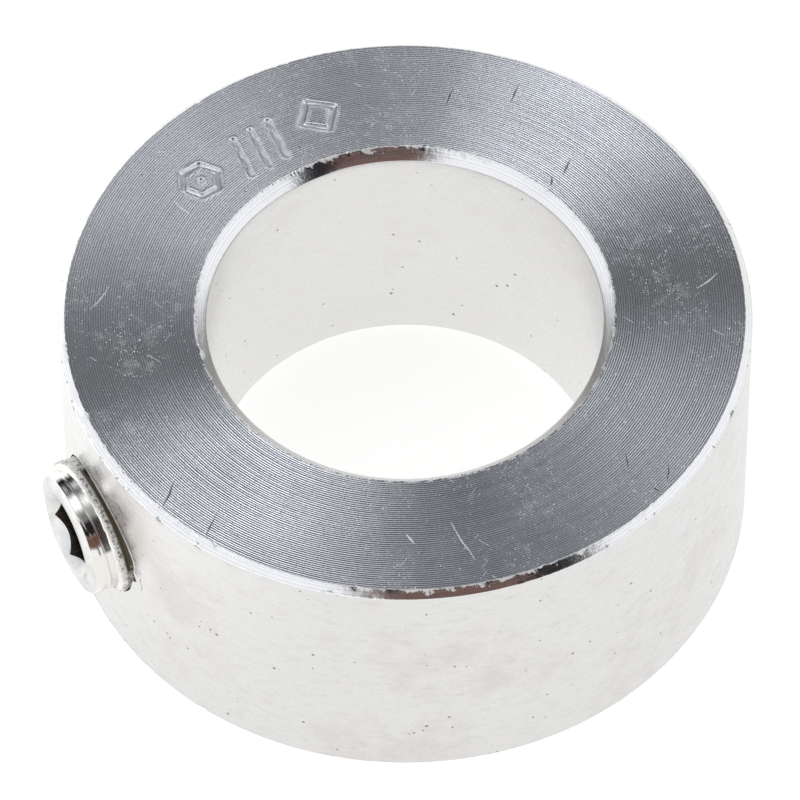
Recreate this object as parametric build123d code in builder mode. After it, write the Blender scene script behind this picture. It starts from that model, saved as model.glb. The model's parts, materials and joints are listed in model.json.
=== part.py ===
"""Shaft collar for a 16 mm shaft, locked by one radial hexagon socket set screw.

Units are millimetres. +Z runs along the bore, the origin is on the bore axis at
half the collar's width, and the set screw stands out of the ring towards -Y.
"""
from build123d import *
from math import radians, tan
import os

# --- Collar ring --------------------------------------------------------------
BORE_R = 8.0
OUTER_R = 14.0
WIDTH = 12.0
OUTER_CHAMFER = 0.3
BORE_CHAMFER = 0.45

# --- Set screw, M6 x 6, hexagon socket, cone point ----------------------------
SCREW_LENGTH = 6.0
PROUD = 1.3
PITCH = 1.0
THREAD_R = 2.93
THREAD_DEPTH = 0.6134 * PITCH
PITCH_R = THREAD_R - THREAD_DEPTH / 2
FLANK_ANGLE = 30.0
ROOT_FLAT = PITCH / 8
GROOVE_OVERCUT = 0.08
GROOVE_TOP = THREAD_DEPTH / 2 + GROOVE_OVERCUT
GROOVE_MOUTH = ROOT_FLAT + 2 * (THREAD_DEPTH + GROOVE_OVERCUT) * tan(radians(FLANK_ANGLE))
GROOVE_RUN_IN = 0.9 * PITCH
GROOVE_RUN_OUT = 0.7 * PITCH
POINT_R = 0.75
POINT_HALF_ANGLE = 60.0
POINT_HEIGHT = (THREAD_R - POINT_R) / tan(radians(POINT_HALF_ANGLE))
END_CHAMFER = 0.4
END_DOME = 0.15
DOME_R = 2.3

# --- Hexagon socket in the screw's outer end ----------------------------------
HEXAGON = 6
SOCKET_AF = 3.0
SOCKET_DEPTH = 2.5
SOCKET_TURN = 22.0
SOCKET_SINK_R = 1.93
SOCKET_SINK_SLOPE = 50.0
SOCKET_SINK_DEPTH = SOCKET_SINK_R * tan(radians(SOCKET_SINK_SLOPE))

# --- Screw hole in the ring: plain, just clear of the thread's crests ---------
HOLE_R = THREAD_R + 0.07
HOLE_MOUTH_CHAMFER = 0.15

# --- Struck mark on the upper face: hexagon with a dot, slanted bars, diamond -
MARK_AZIMUTH = 189.0
MARK_RADIUS = 10.25
MARK_HEIGHT = 1.9
MARK_STROKE = 0.24
MARK_DEPTH = 0.1
MARK_SPACING = 2.9
BAR_COUNT = 3
BAR_SPACING = 0.85
BAR_LEAN = 12.0
DIAMOND = 4

# --- Axes and planes ----------------------------------------------------------
SCREW_END = OUTER_R + PROUD
SCREW_TIP = SCREW_END - SCREW_LENGTH
SCREW_AXIS = Axis((0, 0, 0), (0, -1, 0))
ACROSS_SCREW = Plane(origin=(0, 0, 0), x_dir=(1, 0, 0), z_dir=(0, -1, 0))
ALONG_SCREW = Plane(origin=(0, 0, 0), x_dir=(1, 0, 0), z_dir=(0, 0, -1))
MARK_PLANE = Plane.XY.offset(WIDTH / 2).rotated((0, 0, MARK_AZIMUTH + 90))

os.makedirs("parts", exist_ok=True)


def outline(sides):
    """A regular polygon drawn as a line of the mark's stroke width."""
    RegularPolygon(MARK_HEIGHT / 2, sides)
    RegularPolygon(MARK_HEIGHT / 2 - MARK_STROKE, sides, mode=Mode.SUBTRACT)


# --- Collar ring --------------------------------------------------------------
with BuildPart() as collar_ring:
    with BuildSketch(Plane.XY.offset(-WIDTH / 2)):
        Circle(OUTER_R)
        Circle(BORE_R, mode=Mode.SUBTRACT)
    extrude(amount=WIDTH)
    rims = collar_ring.edges().filter_by(GeomType.CIRCLE).group_by(SortBy.RADIUS)
    chamfer(rims[0], BORE_CHAMFER)
    rims = collar_ring.edges().filter_by(GeomType.CIRCLE).group_by(SortBy.RADIUS)
    chamfer(rims[-1], OUTER_CHAMFER)

    # The radial screw hole goes through one wall, from the outside to the bore.
    with Locations(ACROSS_SCREW.offset(OUTER_R)):
        Hole(HOLE_R, depth=OUTER_R)
    hole_mouth = collar_ring.edges().filter_by(GeomType.BSPLINE).sort_by(Axis.Y)[0]
    chamfer(hole_mouth, HOLE_MOUTH_CHAMFER)

    with BuildSketch(MARK_PLANE):
        with Locations((-MARK_SPACING, -MARK_RADIUS)):
            outline(HEXAGON)
            Circle(MARK_STROKE)
        with Locations((0, -MARK_RADIUS)):
            with GridLocations(BAR_SPACING, 0, BAR_COUNT, 1):
                Rectangle(MARK_STROKE, MARK_HEIGHT, rotation=-BAR_LEAN)
        with Locations((MARK_SPACING, -MARK_RADIUS)):
            outline(DIAMOND)
    extrude(amount=-MARK_DEPTH, mode=Mode.SUBTRACT)

collar_ring.part.label = "collar_ring"
export_step(collar_ring.part, "parts/collar_ring.step")


# --- Set screw ----------------------------------------------------------------
with BuildPart() as set_screw:
    with BuildSketch(ALONG_SCREW):
        with BuildLine():
            Polyline(
                (0, SCREW_TIP),
                (POINT_R, SCREW_TIP),
                (THREAD_R, SCREW_TIP + POINT_HEIGHT),
                (THREAD_R, SCREW_END - END_DOME - END_CHAMFER),
                (THREAD_R - END_CHAMFER, SCREW_END - END_DOME),
                (0, SCREW_END - END_DOME),
                close=True,
            )
        make_face()
    revolve(axis=SCREW_AXIS)

    # The thread groove follows a helix that runs out past both ends.
    with BuildLine() as helix:
        Helix(
            pitch=PITCH,
            height=GROOVE_RUN_IN + SCREW_LENGTH + GROOVE_RUN_OUT,
            radius=PITCH_R,
            center=(0, GROOVE_RUN_IN - SCREW_TIP, 0),
            direction=SCREW_AXIS.direction,
        )
    helix_start = helix.line @ 0
    outward = Vector(helix_start.X, 0, helix_start.Z).normalized()
    groove_normal = outward.cross(SCREW_AXIS.direction)
    with BuildSketch(Plane(helix_start, x_dir=outward, z_dir=groove_normal)):
        with BuildLine():
            Polyline(
                (-THREAD_DEPTH / 2, -ROOT_FLAT / 2),
                (GROOVE_TOP, -GROOVE_MOUTH / 2),
                (GROOVE_TOP, GROOVE_MOUTH / 2),
                (-THREAD_DEPTH / 2, ROOT_FLAT / 2),
                close=True,
            )
        make_face()
    sweep(path=helix.line, is_frenet=True, mode=Mode.SUBTRACT)

    # The end rises a little to the socket.
    with Locations(ACROSS_SCREW.offset(SCREW_END - END_DOME)):
        Cone(
            bottom_radius=DOME_R,
            top_radius=SOCKET_SINK_R,
            height=END_DOME,
            align=(Align.CENTER, Align.CENTER, Align.MIN),
        )

    # The hexagon socket has a countersunk mouth, which scallops its edge.
    with BuildSketch(ACROSS_SCREW.offset(SCREW_END)):
        RegularPolygon(SOCKET_AF / 2, HEXAGON, major_radius=False, rotation=SOCKET_TURN)
    extrude(amount=-SOCKET_DEPTH, mode=Mode.SUBTRACT)
    with Locations(ACROSS_SCREW.offset(SCREW_END)):
        Cone(
            bottom_radius=0,
            top_radius=SOCKET_SINK_R,
            height=SOCKET_SINK_DEPTH,
            align=(Align.CENTER, Align.CENTER, Align.MAX),
            mode=Mode.SUBTRACT,
        )

set_screw.part.label = "set_screw"
export_step(set_screw.part, "parts/set_screw.step")
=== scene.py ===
"""Shaft collar: the visual model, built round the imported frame.

Meshes that carry the struck mark, the ragged rims, the threads and the wear replace the plain
CAD solids. Sizes are in millimetres until the meshes are made.
"""
import json
from functools import partial, reduce
from math import cos, inf, pi, radians, sin, sqrt, tan

import bmesh
import bpy
import numpy as np
from mathutils import Matrix, Vector


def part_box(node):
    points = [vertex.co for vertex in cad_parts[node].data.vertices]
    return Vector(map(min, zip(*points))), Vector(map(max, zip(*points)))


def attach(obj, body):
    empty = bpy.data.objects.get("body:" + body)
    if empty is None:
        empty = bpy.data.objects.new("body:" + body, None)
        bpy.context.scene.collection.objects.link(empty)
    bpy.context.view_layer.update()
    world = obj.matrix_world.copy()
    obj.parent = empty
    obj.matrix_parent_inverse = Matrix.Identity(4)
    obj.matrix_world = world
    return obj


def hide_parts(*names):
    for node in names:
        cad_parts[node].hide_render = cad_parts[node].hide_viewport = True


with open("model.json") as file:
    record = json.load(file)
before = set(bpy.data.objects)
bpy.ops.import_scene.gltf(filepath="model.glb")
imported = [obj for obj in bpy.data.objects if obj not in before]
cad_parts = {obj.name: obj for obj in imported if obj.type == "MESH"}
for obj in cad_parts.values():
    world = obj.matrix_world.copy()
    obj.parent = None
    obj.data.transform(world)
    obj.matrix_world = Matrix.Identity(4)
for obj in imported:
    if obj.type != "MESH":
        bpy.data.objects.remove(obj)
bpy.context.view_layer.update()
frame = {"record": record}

MM = 0.001

# --- Sizes read from the frame ------------------
mounts = {m["name"]: m for m in frame["record"]["mounts"]}
ring_high = np.array(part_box("collar_ring")[1]) / MM
screw_low, screw_high = (np.array(c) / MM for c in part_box("set_screw"))
BORE_R = mounts["bore"]["dims"]["r_mm"]
OUTER_R = ring_high[0]
TOP = ring_high[2]
BORE_CHAMFER = TOP - mounts["bore"]["dims"]["length_mm"] / 2
OUTER_CHAMFER = 0.3
SCREW_END = -screw_low[1]
SCREW_TIP = -screw_high[1]
SCREW_LENGTH = SCREW_END - SCREW_TIP
THREAD_R = screw_high[0]

# --- Thread, common to the screw and its hole ---
PITCH = 1.0
THREAD_DEPTH = 0.40
CREST_HALF = 0.085
FLANK_RISE = 1 / tan(radians(30))
CREST_AT_ZERO = 1.30
HOLE_THREAD_R = 3.22
HOLE_CLEAR_R = 2.95

# --- Set screw: its thread's first turn, neck, ends and socket ---
THREAD_START = radians(240)
STARTING_LENGTH = 0.8
FIRST_CREST_HALF = 0.10
FIRST_FLANK_RISE = 5.5
NECK_R = 2.595
NECK_SLOPE = 0.21
NECK_RIDGE = 0.74
NECK_RIDGE_HEIGHT = 0.022
NECK_RIDGE_WIDTH = 0.05
GROOVE_FILL_R = 2.89
GROOVE_OPEN_FROM = 1
GROOVE_OPEN_TO = 112
FILLED_TO = 2.3
CREST_WEAR_WIDTH = 0.2
END_CHAMFER = 0.4
CHAMFER_SLOPE = 0.45
CHAMFER_LENGTH = 0.55
END_DOME = 0.15
POINT_R = 0.75
POINT_SLOPE = tan(radians(60))
SOCKET_AF = 3.0
SOCKET_DEPTH = 2.5
SOCKET_TURN = 22.0
SOCKET_SINK_R = 1.93
SOCKET_SINK_SLOPE = tan(radians(50))
SCREW_LOOPS = 145
TINY_R = 0.001

# --- Struck mark: hexagon with a dot, slanted bars, diamond ---
MARK_AZIMUTH = 189.0
MARK_RADIUS = 10.25
MARK_HEIGHT = 1.9
MARK_SPACING = 2.9
BAR_SPACING = 0.85
BAR_LEAN = radians(12)
STROKE_HALF = 0.13
STROKE_DEPTH = 0.1
STROKE_SLOPE = 0.06
STROKE_SLOPE_WIDTH = 0.07
LIP_HEIGHT = 0.035
LIP_WIDTH = 0.045

# --- Camera -------------------------------------
VIEW_AZIMUTH = radians(64.0)
VIEW_ELEVATION = radians(53.54)
VIEW_DISTANCE = 337.8
VIEW_LENS = 372.4
VIEW_ROLL = radians(-0.48)
VIEW_OFFSET = (-0.227, -0.012)

chance = np.random.RandomState(705)


# --- Small helpers ------------------------------
def smooth(x):
    """0 below 0, 1 above 1, and a smooth step between."""
    t = np.clip(x, 0, 1)
    return t * t * (3 - 2 * t)


def hump(x, width):
    return np.exp(-(x / width) ** 2)


def placed(name, data):
    """A new object, linked to the scene."""
    made = bpy.data.objects.new(name, data)
    bpy.context.scene.collection.objects.link(made)
    return made


def wrapped(degrees):
    """Angles brought into -180..180 degrees."""
    return (degrees + 180) % 360 - 180


def ripple(counts, strength):
    """A ragged function of an angle in degrees, made of sine waves."""
    phases = chance.uniform(0, 2 * pi, len(counts))
    weights = chance.uniform(0.4, 1.0, len(counts)) * strength / sqrt(len(counts))

    def value(degrees):
        turns = np.radians(np.asarray(degrees, float))
        total = np.zeros_like(turns)
        for count, phase, weight in zip(counts, phases, weights):
            total = total + weight * np.sin(count * turns + phase)
        return total

    return value


def nicks(count, low, high, width, depth):
    """Single notches at random places between two angles."""
    places = chance.uniform(low, high, count)
    widths = chance.uniform(0.4, 1.0, count) * width
    depths = chance.uniform(0.3, 1.0, count) * depth

    def value(degrees):
        total = np.zeros_like(np.asarray(degrees, float))
        for place, w, d in zip(places, widths, depths):
            total = total + d * hump(wrapped(degrees - place), w)
        return total

    return value


class Surface:
    """Collects vertices and faces, then makes one smooth mesh object of them."""

    def __init__(self):
        self.points = []
        self.count = 0
        self.faces = []
        self.slots = []

    def add(self, points):
        first = self.count
        self.points.append(np.asarray(points, float).reshape(-1, 3))
        self.count += len(self.points[-1])
        return np.arange(first, self.count)

    def face(self, corners, slot):
        self.faces.append([int(c) for c in corners])
        self.slots.append(slot)

    def strip(self, lower, upper, slot, skip=None):
        """Faces between two closed loops; one loop may have a multiple of the other's points."""
        count = min(len(lower), len(upper))
        a, b = len(lower) // count, len(upper) // count
        for i in range(count):
            if skip is not None and skip(i):
                continue
            bottom = [lower[(i * a + k) % len(lower)] for k in range(a + 1)]
            top = [upper[(i * b + k) % len(upper)] for k in range(b + 1)]
            self.face(bottom + top[::-1], slot)

    def skin(self, loops, slot):
        """Strips between each loop and the next."""
        for a, b in zip(loops, loops[1:]):
            self.strip(a, b, slot)

    def bridge(self, outer, outer_angles, inner, inner_angles, slot):
        """Triangles between two loops round the same centre with different numbers of points."""
        next_outer = [*outer_angles[1:], outer_angles[0] + 2 * pi, inf]
        next_inner = [*inner_angles[1:], inner_angles[0] + 2 * pi, inf]
        i = j = 0
        while i < len(outer) or j < len(inner):
            a, b = outer[i % len(outer)], inner[j % len(inner)]
            if next_outer[i] <= next_inner[j]:
                i += 1
                self.face([a, outer[i % len(outer)], b], slot)
            else:
                j += 1
                self.face([a, inner[j % len(inner)], b], slot)

    def build(self, name, materials):
        mesh = bpy.data.meshes.new(name)
        points = np.concatenate(self.points) * MM
        mesh.from_pydata([tuple(p) for p in points], [], self.faces)
        for material in materials:
            mesh.materials.append(material)
        mesh.polygons.foreach_set("material_index", self.slots)
        mesh.polygons.foreach_set("use_smooth", [True] * len(self.faces))
        mesh.validate()
        shape = bmesh.new()
        shape.from_mesh(mesh)
        bmesh.ops.recalc_face_normals(shape, faces=shape.faces)
        shape.to_mesh(mesh)
        shape.free()
        return placed(name, mesh)


# --- Ring: how its plain shape is roughened -----
FACE, WALL, RIM, HOLE = range(4)
BORE_EDGE = BORE_R + BORE_CHAMFER
FACE_EDGE = OUTER_R - OUTER_CHAMFER

BORE_EDGE_WIDTH = 0.05
OUTER_EDGE_WIDTH = 0.06
FACE_WAVE_HEIGHT = 0.0012
FACE_WAVE_LENGTH = 0.62
WALL_SINK = 0.004
ON_SURFACE = 1e-6
MARK_REACH = 30

bore_rag = ripple(range(60, 420, 13), 0.014)
outer_rag = ripple(range(50, 420, 11), 0.012)
bore_nicks = nicks(22, 0, 360, 0.5, 0.05)
bore_chips = nicks(4, 145, 175, 0.5, 0.12)
outer_nicks = nicks(24, 0, 360, 0.4, 0.05)
front_nicks = nicks(26, 250, 340, 0.5, 0.08)
side_wave = ripple(range(2, 9), 0.004)


def lip_at(distance):
    """Height of a struck groove with raised lips, at a distance from its centre line."""
    floor_edge = smooth((distance - STROKE_HALF + STROKE_SLOPE) / STROKE_SLOPE_WIDTH)
    lip = hump(distance - STROKE_HALF - LIP_WIDTH, LIP_WIDTH)
    return LIP_HEIGHT * lip - STROKE_DEPTH * (1 - floor_edge)


def polygon_strokes(x, radius, sides):
    corners = [(x + radius * cos(2 * pi * k / sides), radius * sin(2 * pi * k / sides))
               for k in range(sides)]
    return list(zip(corners, corners[1:] + corners[:1]))


def mark_strokes():
    """The mark's lines as pairs of points, along (x) and across (y) the row."""
    half = MARK_HEIGHT / 2
    strokes = polygon_strokes(-MARK_SPACING, half - STROKE_HALF, 6)
    strokes.append(((-MARK_SPACING, 0), (-MARK_SPACING, 0)))
    for k in (-1, 0, 1):
        lean = half * tan(BAR_LEAN)
        strokes.append(((k * BAR_SPACING - lean, -half), (k * BAR_SPACING + lean, half)))
    return strokes + polygon_strokes(MARK_SPACING, half - STROKE_HALF, 4)


def mark_height(x, y):
    """Height of the struck mark; x is along its row and y outward."""
    nearest = np.full_like(x, MARK_SPACING)
    for (ax, ay), (bx, by) in mark_strokes():
        dx, dy = bx - ax, by - ay
        length = max(dx * dx + dy * dy, 1e-9)
        t = np.clip(((x - ax) * dx + (y - ay) * dy) / length, 0, 1)
        nearest = np.minimum(nearest, np.hypot(x - ax - t * dx, y - ay - t * dy))
    uneven = 0.75 + 0.25 * np.sin(5.1 * x + 2.3 * y) * np.sin(3.7 * y - 1.9 * x)
    return lip_at(nearest) * uneven


def near_edge(r, z, edge_r, edge_z, width):
    """1 on an edge of the ring's section and falling to 0 beside it."""
    return hump(r - edge_r, width) * hump(abs(z) - edge_z, width)


def bore_edge_moves(azimuth, r, z):
    """How the bore's edge is ragged: changes of r and z."""
    edge = near_edge(r, z, BORE_EDGE, TOP, BORE_EDGE_WIDTH)
    rag = bore_rag(azimuth) + bore_nicks(azimuth) + bore_chips(azimuth)
    lift = np.clip(bore_rag(azimuth + 7), 0, 0.015)
    return edge * rag, np.where(z > 0, edge * lift, 0)


def outer_edge_moves(azimuth, r, z):
    """How the two edges of the outer chamfer are ragged: changes of r and z."""
    ragged = outer_rag(azimuth) + outer_nicks(azimuth) + front_nicks(azimuth)
    face_edge = near_edge(r, z, FACE_EDGE, TOP, OUTER_EDGE_WIDTH)
    wall_edge = near_edge(r, z, OUTER_R, TOP - OUTER_CHAMFER, OUTER_EDGE_WIDTH)
    drop = np.clip(outer_rag(azimuth + 40) + front_nicks(azimuth + 3), 0, 0.2)
    return -face_edge * np.clip(ragged, -0.02, 0.2), -np.sign(z) * wall_edge * drop


def face_moves(azimuth, r, z):
    """How the end faces are wavy, and the upper one struck: changes of z."""
    on_face = (abs(z) > TOP - ON_SURFACE) & (r > BORE_EDGE) & (r < FACE_EDGE)
    wave = np.sign(z) * FACE_WAVE_HEIGHT * np.sin(2 * pi * r / FACE_WAVE_LENGTH)
    offset = wrapped(azimuth - MARK_AZIMUTH)
    x = -r * np.sin(np.radians(offset))
    y = r * np.cos(np.radians(offset)) - MARK_RADIUS
    near = on_face & (z > 0) & (abs(offset) < MARK_REACH)
    return np.where(on_face, wave, 0) + np.where(near, mark_height(x, y), 0)


def roughen(azimuth, r, z):
    """Moves points of the plain ring (azimuth, r, z) to those of the worn one."""
    azimuth, r, z = (np.asarray(v, float) * np.ones_like(azimuth, float) for v in (azimuth, r, z))
    bore_r, bore_z = bore_edge_moves(azimuth, r, z)
    outer_r, outer_z = outer_edge_moves(azimuth, r, z)
    on_wall = (abs(z) < TOP - OUTER_CHAMFER) & (r > OUTER_R - ON_SURFACE)
    wall = np.where(on_wall, side_wave(azimuth + 5 * z) - WALL_SINK, 0)
    return r + bore_r + outer_r + wall, z + bore_z + outer_z + face_moves(azimuth, r, z)


def on_ring(azimuth, r, z):
    new_r, new_z = roughen(azimuth, r, z)
    a = np.radians(azimuth)
    return np.stack([new_r * np.cos(a), new_r * np.sin(a), new_z], -1)


# --- Ring: the mesh -----------------------------
HOLE_AZIMUTH = 270.0
# The mouth's gap, torn slit and raised chip; places round it are degrees from +X towards +Z.
MOUTH_R = 2.965
MOUTH_GAP = 0.185
GAP_FROM = 3
GAP_TO = 120
SLIT_AT = -4.0
SLIT_TO = 4.0
SLIT_RISE = 1.6
SLIT_LENGTH = 0.28
CHIP_AT = -14.0
CHIP_WIDTH = 9
CHIP_HEIGHT = 0.1
CHIP_FROM_MOUTH = 0.12
CHIP_LENGTH = 0.1
CRACK_R = 3.45
LIP_RISE = 0.022
LIP_FROM_MOUTH = 0.07
MOUTH_SPREADS = (0.4, 0.26, 0.16, 0.09, 0.04, 0.0)
WIDEST_SPREAD = MOUTH_SPREADS[0]
HOLE_LOOPS = 72
MOUTH_FLARE = 0.9
MOUTH_TAPER = 0.5
# The part of each wall that is left out round the hole: half width in degrees, and half height.
WINDOW_HALF = {OUTER_R: 16.6, BORE_R: 29.0}
WINDOW_Z = 3.9
HOLE_POINTS = 240
HOLE_TURNS = np.arange(HOLE_POINTS) * 2 * pi / HOLE_POINTS
# Mesh columns: degrees between them under the mark, beside the hole and elsewhere.
FINE = 3
MARK_SPAN, MARK_STEP = 24, 0.36
HOLE_SPAN, HOLE_STEP = 32, 1.0
PLAIN_STEP = 1.25
# Mesh rows across the upper face: where the mark is struck, and millimetres between rows.
MARK_FROM, MARK_TO = 9.0, 11.5
MARK_ROW, PLAIN_ROW = 0.055, 0.13

mouth_rag = ripple(range(5, 60, 5), 0.010)


def column_step(azimuth):
    if abs(wrapped(azimuth - MARK_AZIMUTH)) < MARK_SPAN:
        return MARK_STEP
    return HOLE_STEP if abs(wrapped(azimuth - HOLE_AZIMUTH)) < HOLE_SPAN else PLAIN_STEP


def column_azimuths():
    """Azimuths of the mesh columns, closer together under the mark."""
    azimuths = [0.0]
    while azimuths[-1] + column_step(azimuths[-1]) < 359.6:
        azimuths.append(azimuths[-1] + column_step(azimuths[-1]))
    return np.array(azimuths)


COLUMNS = column_azimuths()


def row_azimuths(fine):
    if not fine:
        return COLUMNS
    following = np.append(COLUMNS[1:], 360.0)
    parts = [COLUMNS + (following - COLUMNS) * k / FINE for k in range(FINE)]
    return np.stack(parts, -1).ravel()


def face_radii():
    """Row radii across the upper face, closer together where the mark is struck."""
    radii = [BORE_EDGE + 0.05]
    while radii[-1] < FACE_EDGE - 0.12:
        radii.append(radii[-1] + (MARK_ROW if MARK_FROM < radii[-1] < MARK_TO else PLAIN_ROW))
    return radii


def ring_rows():
    """The ring's section as rows (r, z, fine, material of the band that follows)."""
    wall_z = np.linspace(-1, 1, 25)
    bore_top = TOP - BORE_CHAMFER
    side_top = TOP - OUTER_CHAMFER
    edge = 0.03
    rows = [(BORE_R, z * (bore_top - edge), False, WALL) for z in wall_z]
    rows += [(BORE_R + edge / 4, bore_top, True, RIM)]
    rows += [(BORE_R + BORE_CHAMFER * t, bore_top + BORE_CHAMFER * t, True, RIM)
             for t in (0.08, 0.4, 0.7, 0.88, 0.95)]
    rows += [(BORE_EDGE, TOP, True, FACE)]
    rows += [(r, TOP, False, FACE) for r in face_radii()]
    rows += [(FACE_EDGE - edge, TOP, True, FACE), (FACE_EDGE, TOP, True, RIM)]
    rows += [(FACE_EDGE + OUTER_CHAMFER * t, TOP - OUTER_CHAMFER * t, True, RIM)
             for t in (0.08, 0.2, 0.5, 0.8, 0.92)]
    rows += [(OUTER_R, side_top, True, WALL)]
    rows += [(OUTER_R, z * (side_top - edge), False, WALL) for z in -wall_z]
    rows += [(OUTER_R, -side_top, True, RIM), (FACE_EDGE, -TOP, True, FACE)]
    rows += [(r, -TOP, False, FACE) for r in np.linspace(FACE_EDGE - 0.1, BORE_EDGE + 0.1, 16)]
    rows += [(BORE_EDGE, -TOP, True, RIM), (BORE_R + edge / 4, -bore_top, True, WALL)]
    return rows


def in_window(azimuth, z_low, z_high, half_width):
    return abs(wrapped(azimuth - HOLE_AZIMUTH)) < half_width and max(abs(z_low), abs(z_high)) < WINDOW_Z


def thread_phase(along):
    """Distance in pitches from the nearest thread crest, at a distance along the unrolled thread."""
    return (along / PITCH - CREST_AT_ZERO + 0.5) % 1.0 - 0.5


def thread_radius(phase, crest):
    """Radius of the thread at a phase: a flat crest, 60 degree flanks and a rounded root."""
    fall = np.clip(abs(phase) * PITCH - CREST_HALF, 0, None) * FLANK_RISE
    return crest - np.minimum(fall, THREAD_DEPTH - 0.03 * np.cos(np.clip(phase - 0.5, -0.5, 0.5)))


def mouth_radius():
    """The mouth's outline: open on one side, with a torn slit where the thread starts."""
    degrees = wrapped(np.degrees(HOLE_TURNS))
    gap = MOUTH_GAP * smooth((degrees - GAP_FROM) / 14) * smooth((GAP_TO - degrees) / 35)
    slit = SLIT_LENGTH * np.clip((SLIT_TO - degrees) / (SLIT_TO - SLIT_AT), 0, 1)
    slit = slit * smooth((degrees - SLIT_AT) / SLIT_RISE + 1)
    return MOUTH_R + gap + mouth_rag(degrees) + slit


def hole_loop(surface, ring_r, radius, raised):
    """A loop round the screw hole that lies on a cylinder of the ring, outer or bore."""
    azimuth = HOLE_AZIMUTH + np.degrees(np.arcsin(radius * np.cos(HOLE_TURNS) / ring_r))
    points = on_ring(azimuth, ring_r, radius * np.sin(HOLE_TURNS))
    points[:, :2] *= np.reshape(1 + raised / ring_r, (-1, 1))
    return surface.add(points)


def window_border(surface, indices, rows, ring_r):
    """Vertices round the window left in a wall for the hole, in order of angle, and the angles."""
    inside = np.flatnonzero(abs(wrapped(COLUMNS - HOLE_AZIMUTH)) < WINDOW_HALF[ring_r])
    first, last = inside[0], inside[-1] + 1
    used = [k for k, (r, z, fine, _) in enumerate(rows) if r == ring_r and not fine and abs(z) < WINDOW_Z]
    used.sort(key=lambda k: rows[k][1])
    border = [indices[k][c] for k in (used[0], used[-1]) for c in range(first, last + 1)]
    border += [indices[k][c] for k in used[1:-1] for c in (first, last)]
    points = np.concatenate(surface.points)[border]
    angles = np.mod(np.arctan2(points[:, 2], points[:, 0]), 2 * pi)
    order = np.argsort(angles)
    return [border[k] for k in order], angles[order]


def mouth_loops(surface, ring_r):
    """Loops that lead in to the mouth, with a raised lip and, outside, a raised chip."""
    outside = ring_r == OUTER_R
    chip = CHIP_HEIGHT * hump(wrapped(np.degrees(HOLE_TURNS) - CHIP_AT), CHIP_WIDTH)
    loops = []
    for spread in MOUTH_SPREADS:
        share = spread / WIDEST_SPREAD
        raised = LIP_RISE * hump(spread - LIP_FROM_MOUTH, LIP_FROM_MOUTH) * (1 if outside else -1)
        if outside:
            raised = raised + chip * hump(spread - CHIP_FROM_MOUTH, CHIP_LENGTH)
        radius = mouth_radius() * (1 - share) + (MOUTH_R + spread) * share
        loops.append(hole_loop(surface, ring_r, radius, raised))
    return loops


def cut_hole(surface, indices, rows):
    """Fills the windows in the outer wall and the bore, and joins them by the threaded hole."""
    rims = []
    for ring_r in (OUTER_R, BORE_R):
        border, angles = window_border(surface, indices, rows, ring_r)
        loops = mouth_loops(surface, ring_r)
        surface.bridge(border, angles, loops[0], HOLE_TURNS, WALL)
        surface.skin(loops, WALL)
        rims.append(loops[-1])
    hole_wall(surface, rims)


def hole_wall(surface, rims):
    """The hole's threaded wall, from its mouth outside to the one in the bore."""
    points = np.concatenate(surface.points)
    outer_y, inner_y = -points[rims[0]][:, 1], -points[rims[1]][:, 1]
    mouth = mouth_radius()
    loops = [rims[0]]
    for t in np.linspace(0, 1, HOLE_LOOPS)[1:-1]:
        y = outer_y + (inner_y - outer_y) * t
        edge = np.minimum(outer_y - y, y - inner_y)
        along = SCREW_END - y + PITCH * HOLE_TURNS / (2 * pi)
        thread = np.maximum(thread_radius(thread_phase(along), HOLE_THREAD_R), HOLE_CLEAR_R)
        radius = np.maximum(thread, mouth - MOUTH_FLARE * edge)
        radius = np.minimum(radius, mouth + MOUTH_TAPER * edge)
        wall = np.stack([radius * np.cos(HOLE_TURNS), -y, radius * np.sin(HOLE_TURNS)], -1)
        loops.append(surface.add(wall))
    surface.skin(loops + [rims[1]], HOLE)


def make_ring(materials):
    surface = Surface()
    rows = ring_rows()
    indices = [surface.add(on_ring(row_azimuths(fine), r, z)) for r, z, fine, slot in rows]
    for k, (r, z, fine, slot) in enumerate(rows):
        after = (k + 1) % len(rows)
        half_width = WINDOW_HALF.get(r, 0) if rows[after][0] == r else 0

        def skip(i):
            return (not fine and not rows[after][2]
                    and in_window(COLUMNS[i], z, rows[after][1], half_width))

        surface.strip(indices[k], indices[after], slot, skip)
    cut_hole(surface, indices, rows)
    ring = surface.build("ring_visual", materials)
    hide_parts("collar_ring")
    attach(ring, "ring")
    return ring


# --- Set screw ----------------------------------
SCREW_POINTS = 240
SCREW_TURNS = np.arange(SCREW_POINTS) * 2 * pi / SCREW_POINTS
THREAD, END, SOCKET = range(3)

crest_wear = ripple(range(9, 70, 4), 0.016)


def neck_radius(along, inward):
    """The neck at the screw's end, with a low ridge where the thread's tool ran out."""
    cone = THREAD_R - END_CHAMFER + NECK_SLOPE * (inward - END_DOME)
    return np.minimum(NECK_R, cone) + NECK_RIDGE_HEIGHT * hump(along - NECK_RIDGE, NECK_RIDGE_WIDTH)


def first_crest_radius(along, turn):
    """The first crest, broader than the others, with a steep side towards the neck."""
    grown = smooth((turn + radians(120)) / radians(60))
    half = CREST_HALF + (FIRST_CREST_HALF - CREST_HALF) * grown
    rise = np.where(along < CREST_AT_ZERO, FIRST_FLANK_RISE, FLANK_RISE)
    return THREAD_R - np.clip(abs(along - CREST_AT_ZERO) - half, 0, None) * rise


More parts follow.
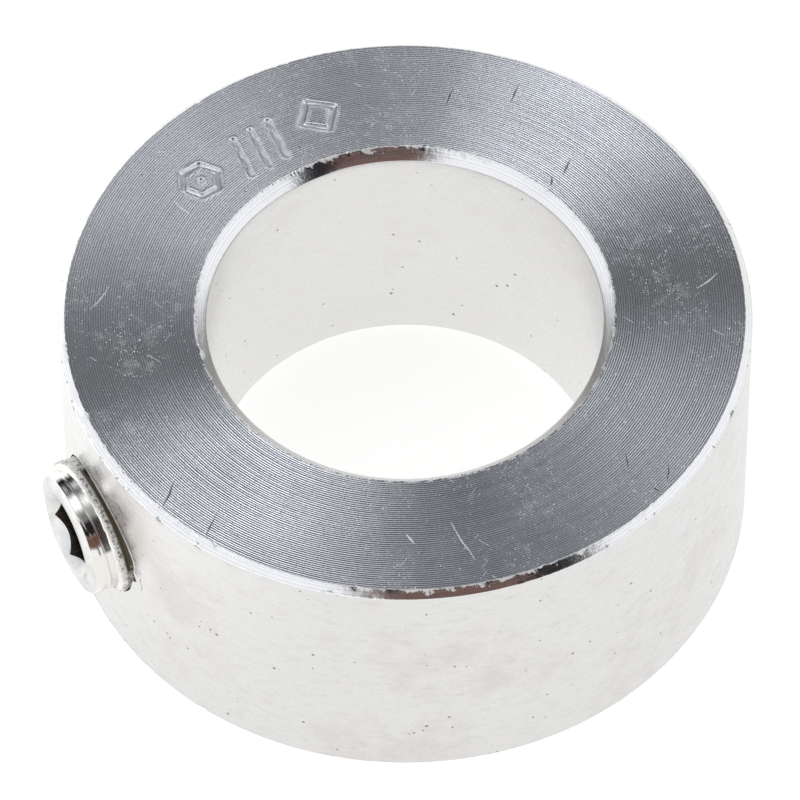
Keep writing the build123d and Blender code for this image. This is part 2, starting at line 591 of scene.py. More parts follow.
def groove_radius(phase, along, turn):
    """The thread; the groove's first turn is filled, but for a stretch on one side."""
    degrees = np.degrees(turn)
    opened = smooth((degrees - GROOVE_OPEN_FROM) / 8) * smooth((GROOVE_OPEN_TO - degrees) / 14)
    first_turn = smooth((THREAD_START - turn) / radians(20)) * smooth((FILLED_TO - along) / 0.3)
    groove = thread_radius(phase, THREAD_R)
    return np.maximum(groove, groove + (GROOVE_FILL_R - groove) * (1 - opened) * first_turn)


def screw_radius(turn, inward):
    """Radius of the screw, at an angle and a distance inward from its outer end."""
    turn = (turn - THREAD_START) % (2 * pi) + THREAD_START - 2 * pi
    along = inward + PITCH * turn / (2 * pi)
    phase = thread_phase(along)
    neck = neck_radius(along, inward)
    rest = np.where(along < CREST_AT_ZERO, neck, groove_radius(phase, along, turn))
    thread = np.maximum(rest, first_crest_radius(along, turn))
    started = smooth((THREAD_START - turn) / radians(45))
    thread = np.where(along < CREST_AT_ZERO + STARTING_LENGTH, neck + (thread - neck) * started, thread)
    worn = np.clip(crest_wear(np.degrees(turn) + 97 * inward), 0, 1) * hump(phase, CREST_WEAR_WIDTH)
    chamfer = THREAD_R - END_CHAMFER + CHAMFER_SLOPE * (inward - END_DOME)
    chamfer = chamfer + 2 * np.clip(inward - CHAMFER_LENGTH, 0, None)
    point = POINT_R + (SCREW_LENGTH - inward) * POINT_SLOPE
    return np.minimum(np.minimum(thread - worn, chamfer), point)


def socket_radius(turn):
    """Radius of the hexagon socket's wall at an angle."""
    sixth = pi / 3
    from_flat = (turn - radians(SOCKET_TURN)) % sixth - sixth / 2
    return SOCKET_AF / 2 / np.cos(from_flat)


def screw_loop(surface, radius, inward):
    """A loop about the screw's axis; radius and inward may vary round it."""
    ones = np.ones(SCREW_POINTS)
    points = [radius * np.cos(SCREW_TURNS), (inward - SCREW_END) * ones, radius * np.sin(SCREW_TURNS)]
    return surface.add(np.stack([p * ones for p in points], -1))


def make_screw(materials):
    surface = Surface()
    wall = socket_radius(SCREW_TURNS)
    sink = (SOCKET_SINK_R - wall) * SOCKET_SINK_SLOPE
    end_r = THREAD_R - END_CHAMFER
    inner = [(TINY_R, SOCKET_DEPTH + 0.5), (0.8, SOCKET_DEPTH + 0.1), (wall * 0.96, SOCKET_DEPTH),
             (wall, SOCKET_DEPTH - 0.05), (wall, 1.4), (wall, 0.7), (wall, sink + 0.015)]
    mouth = [(wall + 0.01, sink - 0.01), (wall * 0.5 + SOCKET_SINK_R * 0.5, sink / 2),
             (SOCKET_SINK_R - 0.01, 0.012), (SOCKET_SINK_R + 0.02, 0.004),
             (end_r - 0.3, END_DOME * 0.5), (end_r - 0.02, END_DOME - 0.005)]
    loops = [(screw_loop(surface, r, d), SOCKET) for r, d in inner]
    loops += [(screw_loop(surface, r, d), END) for r, d in mouth]
    for inward in np.linspace(END_DOME + 0.015, SCREW_LENGTH - 0.02, SCREW_LOOPS):
        radius = screw_radius(SCREW_TURNS, inward)
        loops.append((screw_loop(surface, radius, inward), THREAD))
    loops.append((screw_loop(surface, POINT_R - 0.03, SCREW_LENGTH), END))
    loops.append((screw_loop(surface, TINY_R, SCREW_LENGTH), END))
    for (a, slot), (b, _) in zip(loops, loops[1:]):
        surface.strip(b, a, slot)
    for loop, _ in (loops[0], loops[-1]):
        surface.face(loop, SOCKET if loop is loops[0][0] else END)
    screw = surface.build("screw_visual", materials)
    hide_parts("set_screw")
    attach(screw, "screw")
    return screw


# --- Materials ----------------------------------
ALUMINIUM = (0.745, 0.768, 0.805, 1)
# Painted light: the bore gets a lighter copy of the outer wall's aluminium, against the shade inside the
# bore.
LIGHTENED_BORE_ALUMINIUM = (0.805, 0.80, 0.79, 1)
OUTER_ALUMINIUM = (0.735, 0.73, 0.722, 1)
RIM_ALUMINIUM = (0.80, 0.80, 0.80, 1)
GROOVE_SHADE = (0.16, 0.17, 0.19, 1)
HAZE = (0.76, 0.76, 0.75, 1)
DULL = (0.45, 0.46, 0.48, 1)
STAIN = (0.60, 0.55, 0.52, 1)
BRIGHT_DUST = (0.95, 0.95, 0.95, 1)
DARK_DIRT = (0.10, 0.095, 0.09, 1)
# Painted shade and brown reflection for the tapped hole's wall, dark and light.
HOLE_SHADE_DARK = (0.26, 0.235, 0.165, 1)
HOLE_SHADE_LIGHT = (0.50, 0.47, 0.38, 1)
NICKEL = (0.80, 0.785, 0.75, 1)
SCRAPED_NICKEL = (0.97, 0.96, 0.94, 1)
CREST_DIRT = (0.20, 0.18, 0.15, 1)
# Painted shade and brown reflection for the thread's flanks and roots inside the hole, dark and light.
THREAD_SHADE_DARK = (0.27, 0.23, 0.165, 1)
THREAD_SHADE_LIGHT = (0.62, 0.55, 0.42, 1)
BLASTED_NICKEL = (0.72, 0.715, 0.705, 1)
CLOUDED_NICKEL = (0.48, 0.485, 0.50, 1)
OXIDE = (0.045, 0.036, 0.032, 1)
WORN_OXIDE = (0.12, 0.10, 0.09, 1)

# The end faces' turning: distance between grooves, and the slope of a groove's two sides.
FEED = 0.0985
FEED_WANDER = 0.5
GROOVE_INWARD = 0.40
GROOVE_OUTWARD = 0.23
FLAT_PHASE = GROOVE_INWARD / (GROOVE_INWARD + GROOVE_OUTWARD)
# How dark the painted shade in the groove bottoms is, and how dark it is where the face is worn.
GROOVE_SHADE_DEPTH = 0.42
WORN_GROOVE_SHADE_DEPTH = GROOVE_SHADE_DEPTH * 0.35
# The grooves are more and more blurred towards one side of the face.
BLURRED_SIDE = (cos(radians(190)), sin(radians(190)), 0)
CLEAR_AT, FAINT_AT = -9.0, 7.0
CLEAR_BLUR, FAINT_BLUR = 0.5, 1.8

# Dark scratches on the upper face: radius and azimuth of the two ends, and half width.
DARK_SCRATCHES = [((11.7, 143.3), (10.7, 144.8), 0.045), ((12.6, 131.8), (11.5, 131.9), 0.04),
                  ((10.3, 112.1), (9.5, 110.1), 0.045), ((9.2, 112.2), (8.7, 110.5), 0.04),
                  ((12.4, 286.4), (13.6, 289.1), 0.04), ((12.6, 296.9), (13.6, 298.3), 0.03),
                  ((13.0, 21.8), (13.7, 21.9), 0.045), ((11.3, 24.8), (11.8, 21.7), 0.03),
                  ((13.0, 27.5), (13.4, 24.4), 0.03)]
# Light scratches, in the same form.
LIGHT_SCRATCHES = [((10.6, 343.5), (12.6, 346.2), 0.025), ((11.0, 334.2), (11.5, 335.4), 0.045),
                   ((12.7, 72.4), (11.9, 68.6), 0.035), ((11.9, 237.3), (12.7, 242.9), 0.02),
                   ((10.9, 212.1), (10.0, 214.5), 0.035), ((13.2, 205.0), (12.6, 203.0), 0.03)]
SCRATCH_EDGE = 0.012
SCRATCH_BEND = 0.1

# What lies within this of the upper face belongs to it.
FACE_BAND = 0.2

# Depths of the bumps.
FACE_BUMP = 0.007
WALL_BUMP = 0.004
RIM_BUMP = 0.005
HOLE_BUMP = 0.006
THREAD_BUMP = 0.035
END_BUMP = 0.004
SOCKET_BUMP = 0.006

# Fine turning round the ring stretches reflections along the axis.
TURNING_ANISOTROPY = 0.3
QUARTER_TURN = 0.25
# Up to what distance from the axis a wall is the bore's, and from what distance the outer one.
BORE_UP_TO = BORE_R + 1.5
OUTER_FROM = BORE_R + 2.5
BORE_WEAR = 0.25
CRACK_SIDE = OUTER_R
# Where along Y the screw's crests are scraped, and where its thread is painted with shade and a brown
# reflection.
SCRAPED_FROM, SCRAPED_TO = 0.6 - SCREW_END, 0.75 - SCREW_END
SHADE_FROM, SHADE_TO = 1.1 - SCREW_END, 1.2 - SCREW_END
SUNK_FROM, SUNK_TO = 1.3 - SCREW_END, 1.4 - SCREW_END


class Metal:
    """A metal under construction: one Principled shader and short calls for the nodes round it."""

    def __init__(self, name):
        self.material = bpy.data.materials.new(name)
        self.material.use_nodes = True
        self.tree = self.material.node_tree
        self.shader = self.tree.nodes["Principled BSDF"]
        self.feed(self.shader, Metallic=1.0)
        self.mm = self.times(self.node("ShaderNodeTexCoord").outputs["Object"], 1 / MM)
        apart = self.node("ShaderNodeSeparateXYZ")
        self.feed(apart, self.mm)
        self.x, self.y, self.z = apart.outputs

    def node(self, kind, **settings):
        made = self.tree.nodes.new(kind)
        for key, value in settings.items():
            setattr(made, key, value)
        return made

    def put(self, socket, value):
        if isinstance(value, bpy.types.NodeSocket):
            self.tree.links.new(value, socket)
        else:
            socket.default_value = value

    def feed(self, made, *values, output=0, **named):
        """Gives a node its inputs, in order or by name (_ for a space); returns an output."""
        for socket, value in zip(made.inputs, values):
            self.put(socket, value)
        for name, value in named.items():
            self.put(made.inputs[name.replace("_", " ")], value)
        return made.outputs[output]

    def math(self, operation, *values):
        return self.feed(self.node("ShaderNodeMath", operation=operation), *values)

    def product(self, *values):
        return reduce(partial(self.math, "MULTIPLY"), values)

    def total(self, *values):
        return reduce(partial(self.math, "ADD"), values)

    def largest(self, *values):
        return reduce(partial(self.math, "MAXIMUM"), values)

    def less(self, first, second):
        return self.math("SUBTRACT", first, second)

    def size(self, value):
        return self.math("ABSOLUTE", value)

    def vector(self, operation, *values, **more):
        return self.feed(self.node("ShaderNodeVectorMath", operation=operation), *values, **more)

    def dot(self, first, second):
        return self.vector("DOT_PRODUCT", first, second, output="Value")

    def length(self, vector):
        return self.math("SQRT", self.dot(vector, vector))

    def times(self, vector, factor):
        return self.vector("SCALE", vector, Scale=factor)

    def combine(self, x, y, z):
        return self.feed(self.node("ShaderNodeCombineXYZ"), x, y, z)

    def stretched(self, x, y, z):
        """Places scaled along each axis, to stretch a pattern."""
        return self.vector("MULTIPLY", self.mm, (x, y, z))

    def flat(self):
        """A point's place across the axis."""
        return self.combine(self.x, self.y, 0.0)

    def noise(self, scale, detail=2.0, rough=0.5, at=None):
        return self.feed(self.node("ShaderNodeTexNoise"), Scale=scale, Detail=detail, Roughness=rough,
                         Vector=self.mm if at is None else at)

    def noise_along(self, value, scale, detail):
        """Noise that changes with one number only."""
        made = self.node("ShaderNodeTexNoise", noise_dimensions="1D")
        return self.feed(made, Scale=scale, Detail=detail, W=value)

    def rings_along_z(self, fineness, detail, rough):
        """Fine uneven rings, as a tool moving along the axis leaves."""
        return self.noise(1.0, detail, rough, at=self.combine(0.0, 0.0, self.product(self.z, fineness)))

    def remap(self, value, low, high, to_low=0.0, to_high=1.0, smooth=True):
        made = self.node("ShaderNodeMapRange", interpolation_type="SMOOTHSTEP" if smooth else "LINEAR")
        return self.feed(made, value, low, high, to_low, to_high)

    def between(self, share, start, end):
        """Goes evenly from start to end as share goes from 0 to 1."""
        return self.remap(share, 0.0, 1.0, start, end, smooth=False)

    def blend(self, factor, first, second):
        made = self.node("ShaderNodeMix", data_type="RGBA")
        return self.feed(made, Factor=factor, A=first, B=second, output="Result")

    def specks(self, scale, size, share):
        """Small round specks, 1 inside; share is the part of the cells that have one."""
        cells = self.node("ShaderNodeTexVoronoi")
        distance = self.feed(cells, Scale=scale, Vector=self.mm, output="Distance")
        chosen = self.math("LESS_THAN", self.dot(cells.outputs["Color"], (1, 0, 0)), share)
        return self.product(self.remap(distance, size, size * 0.6), chosen)

    def hairlines(self, turn, length, spacing, cover):
        """Long thin lines in one direction across the end faces."""
        c, s = cos(turn), sin(turn)
        along = self.dot(self.mm, (c / length, s / length, 0.3))
        across = self.dot(self.mm, (-s / spacing, c / spacing, 0.3))
        field = self.noise(1.0, 1.0, at=self.combine(along, across, 0.0))
        return self.remap(field, cover, cover + 0.03)

    def scratch(self, start, end, half):
        """A line between two points (radius, azimuth) of the upper face, thinner at the ends."""
        a, b = on_face(*start), on_face(*end)
        length = (b - a).length
        ux, uy, _ = (b - a) / length
        offset = self.vector("SUBTRACT", self.mm, (a + b) / 2)
        bend = self.remap(self.noise(0.7, 1.0), 0.2, 0.8, -SCRATCH_BEND, SCRATCH_BEND)
        along = self.size(self.dot(offset, (ux, uy, 0)))
        across = self.size(self.total(self.dot(offset, (-uy, ux, 0)), bend))
        off_face = self.size(self.dot(offset, (0, 0, 1)))
        width = self.remap(along, length / 2, 0.0, 0.0, half, smooth=False)
        inside = self.remap(self.less(across, width), SCRATCH_EDGE, -SCRATCH_EDGE)
        within = self.math("LESS_THAN", along, length / 2)
        return self.product(inside, within, self.math("LESS_THAN", off_face, FACE_BAND))

    def bump(self, height, distance, **normal):
        return self.feed(self.node("ShaderNodeBump"), Height=height, Distance=distance * MM, **normal)

    def finish(self, **inputs):
        self.feed(self.shader, **inputs)
        return self.material

    def finish_turned(self, **inputs):
        """Finishes a metal whose turning stretches its reflections."""
        tangent = self.node("ShaderNodeTangent", direction_type="RADIAL", axis="Z").outputs[0]
        return self.finish(Anisotropic=TURNING_ANISOTROPY, Anisotropic_Rotation=QUARTER_TURN,
                           Tangent=tangent, **inputs)


def on_face(radius, degrees):
    return Vector((radius * cos(radians(degrees)), radius * sin(radians(degrees)), TOP))


def groove_phase(metal, radius):
    """How far across its groove a point is, 0 to 1; unsteady edges blur the grooves."""
    wander = metal.product(metal.noise_along(radius, 1.7, 2.0), FEED_WANDER)
    turns = metal.total(metal.math("DIVIDE", radius, FEED), wander)
    blur = metal.remap(metal.dot(metal.mm, BLURRED_SIDE), CLEAR_AT, FAINT_AT, CLEAR_BLUR, FAINT_BLUR)
    unsteady = metal.product(metal.less(metal.noise(160.0, 1.0), 0.5), blur)
    return metal.math("FRACT", metal.total(turns, unsteady))


def grooved_normal(metal, flat, radius, phase, unstruck):
    """The face's direction, tilted inward and outward in turn by the grooves."""
    strength = metal.remap(metal.noise_along(radius, 9.0, 1.0), 0.3, 0.7, 0.88, 1.08)
    patch = metal.remap(metal.noise(0.22, 2.0), 0.35, 0.65, 0.93, 1.05)
    tilt = metal.between(phase, -GROOVE_INWARD, GROOVE_OUTWARD)
    tilt = metal.product(tilt, metal.product(strength, patch), unstruck)
    outward = metal.times(flat, metal.math("DIVIDE", tilt, radius))
    level = metal.node("ShaderNodeNewGeometry").outputs["Normal"]
    return metal.vector("NORMALIZE", metal.vector("ADD", level, outward))


def painted_groove_shade(metal, phase, unstruck):
    """Painted shade: dark lines at the bottoms of the grooves, fainter where the face is worn."""
    wear = metal.remap(metal.noise(0.30, 4.0, 0.6), 0.42, 0.66)
    from_flat = metal.size(metal.less(phase, FLAT_PHASE))
    depth = metal.between(wear, GROOVE_SHADE_DEPTH, WORN_GROOVE_SHADE_DEPTH)
    return metal.product(metal.remap(from_flat, 0.34, 0.12), unstruck, depth)


def light_scratches(metal):
    """Faint hairlines all over, and the single light scratches."""
    first, second = metal.hairlines(0.5, 1.6, 0.075, 0.77), metal.hairlines(2.1, 1.4, 0.07, 0.775)
    found = metal.product(metal.largest(first, second), 0.6)
    return metal.largest(found, *(metal.scratch(*ends) for ends in LIGHT_SCRATCHES))


def dust_and_burrs(metal, radius, dusty):
    """Bright specks, most of them in dusty patches, and the burr along the bore's edge."""
    coarse = metal.largest(metal.specks(2.6, 0.12, 0.22), metal.specks(6.5, 0.18, 0.36))
    coarse = metal.product(coarse, metal.between(dusty, 0.2, 1.0))
    fine = metal.product(metal.specks(11.0, 0.24, 0.3), dusty)
    burr = metal.product(metal.remap(radius, BORE_EDGE + 0.09, BORE_EDGE + 0.03),
                         metal.remap(metal.noise(2.2, 3.0, 0.7), 0.46, 0.56))
    return metal.largest(coarse, fine, burr)


def turned_face():
    """End faces: concentric tool marks that fan reflections out across the grooves."""
    metal = Metal("turned face")
    flat = metal.flat()
    radius = metal.length(flat)
    phase = groove_phase(metal, radius)
    off_level = metal.size(metal.less(metal.z, TOP))
    near_face = metal.math("LESS_THAN", off_level, FACE_BAND)
    struck = metal.product(metal.remap(off_level, 0.006, 0.02), near_face)
    unstruck = metal.less(1.0, struck)
    grooved = grooved_normal(metal, flat, radius, phase, unstruck)

    hairs = light_scratches(metal)
    dusty = metal.remap(metal.noise(0.45, 3.0, 0.6), 0.42, 0.62)
    dust = dust_and_burrs(metal, radius, dusty)
    dark = (metal.scratch(*ends) for ends in DARK_SCRATCHES)
    pits = metal.largest(metal.specks(1.9, 0.08, 0.12), *dark)
    haze = metal.product(dusty, metal.remap(metal.noise(1.5, 6.0, 0.75), 0.46, 0.68))
    grain = metal.noise(18.0, 3.0, 0.6)
    lips = metal.remap(metal.z, TOP + 0.008, TOP + 0.026)

    height = metal.less(metal.total(dust, metal.product(grain, 0.25)), metal.total(pits, hairs))
    # Painted shade: the bottoms of the grooves are darkened.
    colour = metal.blend(painted_groove_shade(metal, phase, unstruck), ALUMINIUM, GROOVE_SHADE)
    colour = metal.blend(metal.product(haze, 0.45), colour, HAZE)
    colour = metal.blend(metal.remap(grain, 0.35, 0.7, 0.0, 0.3), colour, DULL)
    colour = metal.blend(metal.product(hairs, 0.8), colour, BRIGHT_DUST)
    colour = metal.blend(dust, colour, BRIGHT_DUST)
    colour = metal.blend(lips, colour, BRIGHT_DUST)
    colour = metal.blend(metal.product(pits, 0.8), colour, DARK_DIRT)
    matt = metal.largest(dust, metal.product(hairs, 0.8), metal.product(haze, 0.35), lips,
                         metal.product(struck, 0.45))
    return metal.finish(Base_Color=colour, Roughness=metal.between(matt, 0.17, 0.6),
                        Normal=metal.bump(height, FACE_BUMP, Normal=grooved))


def mouth_crack(metal):
    """A dark crack round one side of the screw hole's mouth."""
    from_screw = metal.length(metal.combine(metal.x, 0.0, metal.z))
    wavy = metal.total(from_screw, metal.remap(metal.noise(1.2, 2.0), 0.2, 0.8, -0.12, 0.12))
    crack = metal.remap(metal.size(metal.less(wavy, CRACK_R)), 0.035, 0.01)
    level = metal.remap(metal.size(metal.z), 0.95, 0.6)
    beside = metal.math("GREATER_THAN", metal.less(metal.x, metal.y), CRACK_SIDE)
    return metal.product(crack, level, beside, metal.remap(metal.noise(3.0, 2.0), 0.42, 0.5))


def smooth_wall():
    """Outer wall and bore: fine turning round the axis, faint mottling, stains and dark nicks."""
    metal = Metal("smooth wall")
    radius = metal.length(metal.flat())
    in_bore = metal.remap(radius, OUTER_FROM, BORE_UP_TO)
    worn = metal.between(in_bore, 1.0, BORE_WEAR)
    streaks = metal.noise(6.0, 4.0, 0.65, at=metal.stretched(0.25, 0.25, 1.6))
    mottle = metal.noise(2.4, 5.0, 0.7, at=metal.stretched(0.45, 0.45, 1.2))
    cluster = metal.remap(metal.noise(1.0, 1.0, at=metal.stretched(0.5, 0.5, 1.2)), 0.63, 0.69)
    nick = metal.largest(metal.product(metal.specks(2.8, 0.24, 0.6), cluster),
                         metal.specks(1.1, 0.07, 0.6), mouth_crack(metal))
    stain = metal.remap(metal.noise(0.2, 5.0, 0.65), 0.5, 0.72, 0.0, 0.5)
    height = metal.total(metal.rings_along_z(14.0, 3.0, 0.6), metal.product(streaks, worn, 0.8))
    height = metal.less(height, nick)
    # Painted light: the aluminium is lighter in the bore, against the shade inside it.
    colour = metal.blend(in_bore, OUTER_ALUMINIUM, LIGHTENED_BORE_ALUMINIUM)
    colour = metal.blend(metal.product(stain, worn), colour, STAIN)
    dull = metal.total(metal.remap(mottle, 0.5, 0.8, 0.0, 0.3), metal.remap(streaks, 0.5, 0.8, 0.0, 0.22))
    colour = metal.blend(metal.product(dull, worn), colour, DULL)
    colour = metal.blend(metal.product(nick, 0.75), colour, DARK_DIRT)
    uneven = metal.product(worn, metal.remap(mottle, 0.3, 0.7, -0.06, 0.06))
    return metal.finish_turned(Base_Color=colour, Roughness=metal.total(uneven, 0.28),
                               Normal=metal.bump(height, WALL_BUMP))


def bright_rim():
    """Chamfers: freshly cut, nearly polished, with fine streaks round the ring."""
    metal = Metal("bright rim")
    streaks = metal.rings_along_z(26.0, 3.0, 0.7)
    chatter = metal.noise(5.0, 4.0, 0.65)
    burr = metal.remap(metal.noise(1.8, 4.0, 0.75), 0.45, 0.78, 0.0, 0.25)
    burr = metal.remap(metal.total(metal.z, burr), TOP - 0.035, TOP + 0.015)
    fleck = metal.largest(metal.specks(4.0, 0.16, 0.18), burr)
    radius = metal.length(metal.flat())
    grime = metal.product(metal.remap(metal.noise(1.9, 3.0, 0.7), 0.58, 0.66),
                          metal.remap(radius, OUTER_R - 0.14, OUTER_R - 0.04))
    height = metal.total(streaks, metal.product(chatter, 1.2))
    colour = metal.blend(metal.remap(chatter, 0.55, 0.8, 0.0, 0.3), RIM_ALUMINIUM, DULL)
    colour = metal.blend(metal.remap(streaks, 0.48, 0.66, 0.0, 0.5), colour, DULL)
    colour = metal.blend(fleck, colour, BRIGHT_DUST)
    colour = metal.blend(metal.product(grime, 0.75), colour, DARK_DIRT)
    roughness = metal.total(metal.remap(streaks, 0.3, 0.7, 0.10, 0.2), metal.product(fleck, 0.4))
    return metal.finish_turned(Base_Color=colour, Roughness=roughness,
                               Normal=metal.bump(height, RIM_BUMP))


def threaded_hole():
    """The tapped hole: dull cut metal, painted dark brown as shade and a brown reflection inside the
    hole.
    """
    metal = Metal("tapped hole")
    stain = metal.noise(2.5, 4.0, 0.6)
    return metal.finish(
        # Painted shade and brown reflection inside the hole.
        Base_Color=metal.blend(metal.remap(stain, 0.3, 0.7), HOLE_SHADE_DARK, HOLE_SHADE_LIGHT),
        Roughness=metal.remap(stain, 0.3, 0.7, 0.25, 0.45),
        Normal=metal.bump(metal.noise(12.0, 3.0), HOLE_BUMP))


def painted_shade_zone(metal, radius):
    """Where the thread is painted with shade and a brown reflection: its inner flanks and deep roots,
    inside the hole and on its open side.
    """
    facing = metal.node("ShaderNodeNewGeometry").outputs["Normal"]
    inner_flank = metal.remap(metal.dot(facing, (0, 1, 0)), 0.25, 0.5)
    root = metal.remap(radius, THREAD_R - 0.25, THREAD_R - 0.35)
    sunk = metal.product(root, metal.remap(metal.y, SUNK_FROM, SUNK_TO))
    inside = metal.remap(metal.y, SHADE_FROM, SHADE_TO)
    return metal.product(metal.largest(inner_flank, sunk), inside, metal.remap(metal.x, -1.5, -0.8))


def screw_thread():
    """Bright plated thread; crests scraped where they have been in the hole, and flanks and roots inside
    it painted with shade and a brown reflection.
    """
    metal = Metal("plated thread")
    radius = metal.length(metal.combine(metal.x, 0.0, metal.z))
    crest = metal.remap(radius, THREAD_R - 0.13, THREAD_R - 0.06)
    scraped = metal.product(crest, metal.remap(metal.y, SCRAPED_FROM, SCRAPED_TO))
    painted_shade = painted_shade_zone(metal, radius)
    tear = metal.noise(7.0, 5.0, 0.75)
    brushed = metal.noise(1.0, 3.0, 0.6, at=metal.combine(0.0, metal.product(metal.y, 16.0), 0.0))
    height = metal.total(metal.product(scraped, metal.remap(tear, 0.35, 0.65)),
                         metal.product(brushed, 0.3))
    dirt = metal.product(scraped, metal.remap(tear, 0.49, 0.43, 0.0, 0.9))
    colour = metal.blend(scraped, NICKEL, SCRAPED_NICKEL)
    colour = metal.blend(dirt, colour, CREST_DIRT)
    # Painted shade and brown reflection on the flanks and roots inside the hole.
    shade_colour = metal.blend(metal.remap(brushed, 0.38, 0.6), THREAD_SHADE_DARK, THREAD_SHADE_LIGHT)
    colour = metal.blend(painted_shade, colour, shade_colour)
    bare = metal.math("MINIMUM", metal.between(scraped, 1.0, 0.6), metal.between(painted_shade, 1.0, 0.25))
    roughness = metal.total(metal.remap(brushed, 0.3, 0.7, 0.05, 0.1), metal.product(scraped, 0.4))
    return metal.finish(Base_Color=colour, Metallic=bare, Roughness=roughness,
                        Normal=metal.bump(height, THREAD_BUMP))


def screw_end():
    """The screw's end face and socket mouth: plated, finely blasted."""
    metal = Metal("plated end")
    grain = metal.noise(22.0, 3.0, 0.6)
    cloud = metal.remap(metal.noise(1.4, 4.0, 0.6), 0.35, 0.7, 0.0, 0.6)
    return metal.finish(Base_Color=metal.blend(cloud, BLASTED_NICKEL, CLOUDED_NICKEL),
                        Roughness=metal.remap(grain, 0.3, 0.7, 0.22, 0.34),
                        Normal=metal.bump(grain, END_BUMP))


def screw_socket():
    """The hexagon's walls: unplated and dark with oxide."""
    metal = Metal("dark socket")
    grain = metal.noise(9.0, 4.0, 0.6)
    across = metal.combine(metal.product(metal.x, 14.0), 0.0, metal.product(metal.z, 14.0))
    broach = metal.noise(1.0, 2.0, at=across)
    return metal.finish(Base_Color=metal.blend(metal.remap(grain, 0.3, 0.8), OXIDE, WORN_OXIDE),
                        Roughness=metal.remap(grain, 0.3, 0.7, 0.35, 0.55),
                        Normal=metal.bump(metal.total(grain, broach), SOCKET_BUMP))


# --- Studio -------------------------------------
# Soft lights behind the object: degrees right of straight behind, degrees up, width, strength.
SOFTBOXES = [(15, 20, 7, 3.3), (-69, 68, 10, 3.0), (81, 57, 18, 1.6), (-19, 37, 6, 1.4)]
TENT_STRENGTH = 1.15
TENT_TINT = (0.97, 0.985, 1.02)
BACKDROP = (0.86, 0.87, 0.88, 1)
# A dark gap, the dark ceiling and a brown opening below it: degrees right and up as above,
# half width, half height, softness; then the colour.
CARDS = [((137.5, 30, 0.165, 0.62, 0.05), (0.012, 0.011, 0.014, 1)),
         ((169, 52, 0.36, 0.23, 0.06), (0.02, 0.017, 0.02, 1)),
         ((169, 27, 0.33, 0.21, 0.07), (0.185, 0.092, 0.069, 1))]
# The floor's glow, up to one distance to the camera's left and from a further one on.
FLOOR_GLOW = 0.86
FLOOR_GLOW_LEFT = 1.27
GLOW_FROM, GLOW_TO = 4.0, 40.0
FLOOR_HALF = 1.5
FLOOR_COLOUR = (0.3, 0.3, 0.3, 1)
FLOOR_LIGHT = (1.0, 0.995, 0.985, 1)
FLOOR_ROUGHNESS = 0.9
TOWARDS_CAMERA = Vector((sin(VIEW_AZIMUTH), -cos(VIEW_AZIMUTH), 0))
CAMERA_RIGHT = Vector((cos(VIEW_AZIMUTH), sin(VIEW_AZIMUTH), 0))


def studio_direction(sideways, elevation):
    """A direction as degrees to the right of straight behind the object, and degrees up."""
    a, e = radians(sideways), radians(elevation)
    return (CAMERA_RIGHT * sin(a) - TOWARDS_CAMERA * cos(a)) * cos(e) + Vector((0, 0, sin(e)))


class Sky(Metal):
    """The world's node tree, with the same short calls."""

    def __init__(self, world):
        world.use_nodes = True
        self.tree = world.node_tree
        self.background = self.tree.nodes["Background"]
        self.direction = self.node("ShaderNodeTexCoord").outputs["Generated"]

    def towards(self, axis):
        """How far each direction points along an axis."""
        return self.dot(self.direction, tuple(axis))

    def softbox(self, sideways, elevation, width, strength):
        """A soft round light of a given width in degrees."""
        closeness = self.less(self.towards(studio_direction(sideways, elevation)), 1.0)
        falloff = self.math("EXPONENT", self.math("DIVIDE", closeness, radians(width) ** 2))
        return self.product(falloff, strength)

    def card(self, sideways, elevation, half_width, half_height, softness):
        """A soft-edged rectangular card: 1 on it, 0 off it; sizes are sines of angles."""
        middle = studio_direction(sideways, elevation)
        right = middle.cross(Vector((0, 0, 1))).normalized()
        mask = self.remap(self.towards(middle), 0.0, 0.1)
        for axis, half in ((right, half_width), (right.cross(middle), half_height)):
            offset = self.size(self.towards(axis))
            mask = self.product(mask, self.remap(offset, half + softness, half - softness))
        return mask

    def tent(self):
        """Bright front, sides and floor; dark behind and overhead."""
        height = self.towards((0, 0, 1))
        front = self.product(self.remap(self.towards(TOWARDS_CAMERA), 0.05, 0.4),
                             self.remap(height, 0.97, 0.8))
        sides = self.remap(self.size(self.towards(CAMERA_RIGHT)), 0.66, 0.84)
        return self.largest(front, sides, self.remap(height, 0.2, 0.05))


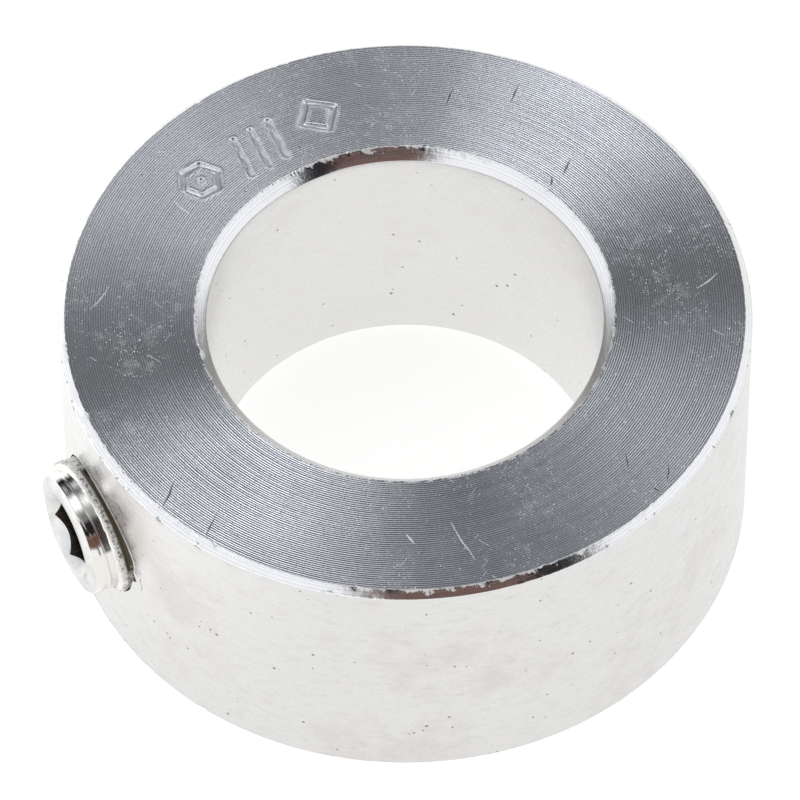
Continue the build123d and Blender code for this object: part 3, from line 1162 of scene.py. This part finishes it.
def make_studio():
    """A pale light tent with a dark back, soft lights and dark cards."""
    bpy.context.scene.world = bpy.data.worlds.new("studio")
    sky = Sky(bpy.context.scene.world)
    level = sky.total(*(sky.softbox(*light) for light in SOFTBOXES))
    level = sky.largest(level, sky.product(sky.tent(), TENT_STRENGTH))
    lit = sky.times(sky.combine(*TENT_TINT), level)
    for card, colour in CARDS:
        lit = sky.blend(sky.card(*card), lit, colour)
    seen = sky.node("ShaderNodeLightPath").outputs["Is Camera Ray"]
    sky.put(sky.background.inputs["Color"], sky.blend(seen, lit, BACKDROP))


def table_top():
    """A lit pale table top, a little brighter to the camera's left."""
    table = Metal("lit table")
    leftward = table.dot(table.mm, tuple(-CAMERA_RIGHT))
    glow = table.remap(leftward, GLOW_FROM, GLOW_TO, FLOOR_GLOW, FLOOR_GLOW_LEFT)
    return table.finish(Metallic=0.0, Specular_IOR_Level=0.0, Roughness=FLOOR_ROUGHNESS,
                        Base_Color=FLOOR_COLOUR, Emission_Color=FLOOR_LIGHT, Emission_Strength=glow)


def make_floor():
    mesh = bpy.data.meshes.new("floor")
    corners = ((-1, -1), (1, -1), (1, 1), (-1, 1))
    square = [(x * FLOOR_HALF, y * FLOOR_HALF, -TOP * MM) for x, y in corners]
    mesh.from_pydata(square, [], [(0, 1, 2, 3)])
    mesh.materials.append(table_top())
    floor = placed("floor", mesh)


def make_camera():
    back = TOWARDS_CAMERA * cos(VIEW_ELEVATION) + Vector((0, 0, sin(VIEW_ELEVATION)))
    up = back.cross(CAMERA_RIGHT)
    middle = CAMERA_RIGHT * VIEW_OFFSET[0] + up * VIEW_OFFSET[1]
    data = bpy.data.cameras.new("camera")
    data.lens = VIEW_LENS
    data.clip_start = 0.01
    camera = placed("camera", data)
    turned = Matrix((CAMERA_RIGHT, up, back)).transposed() @ Matrix.Rotation(VIEW_ROLL, 3, "Z")
    camera.matrix_world = Matrix.Translation((middle + back * VIEW_DISTANCE) * MM) @ turned.to_4x4()
    bpy.context.scene.camera = camera
    bpy.context.scene.view_settings.view_transform = "Standard"


make_ring([turned_face(), smooth_wall(), bright_rim(), threaded_hole()])
make_screw([screw_thread(), screw_end(), screw_socket()])
make_studio()
make_floor()
make_camera()
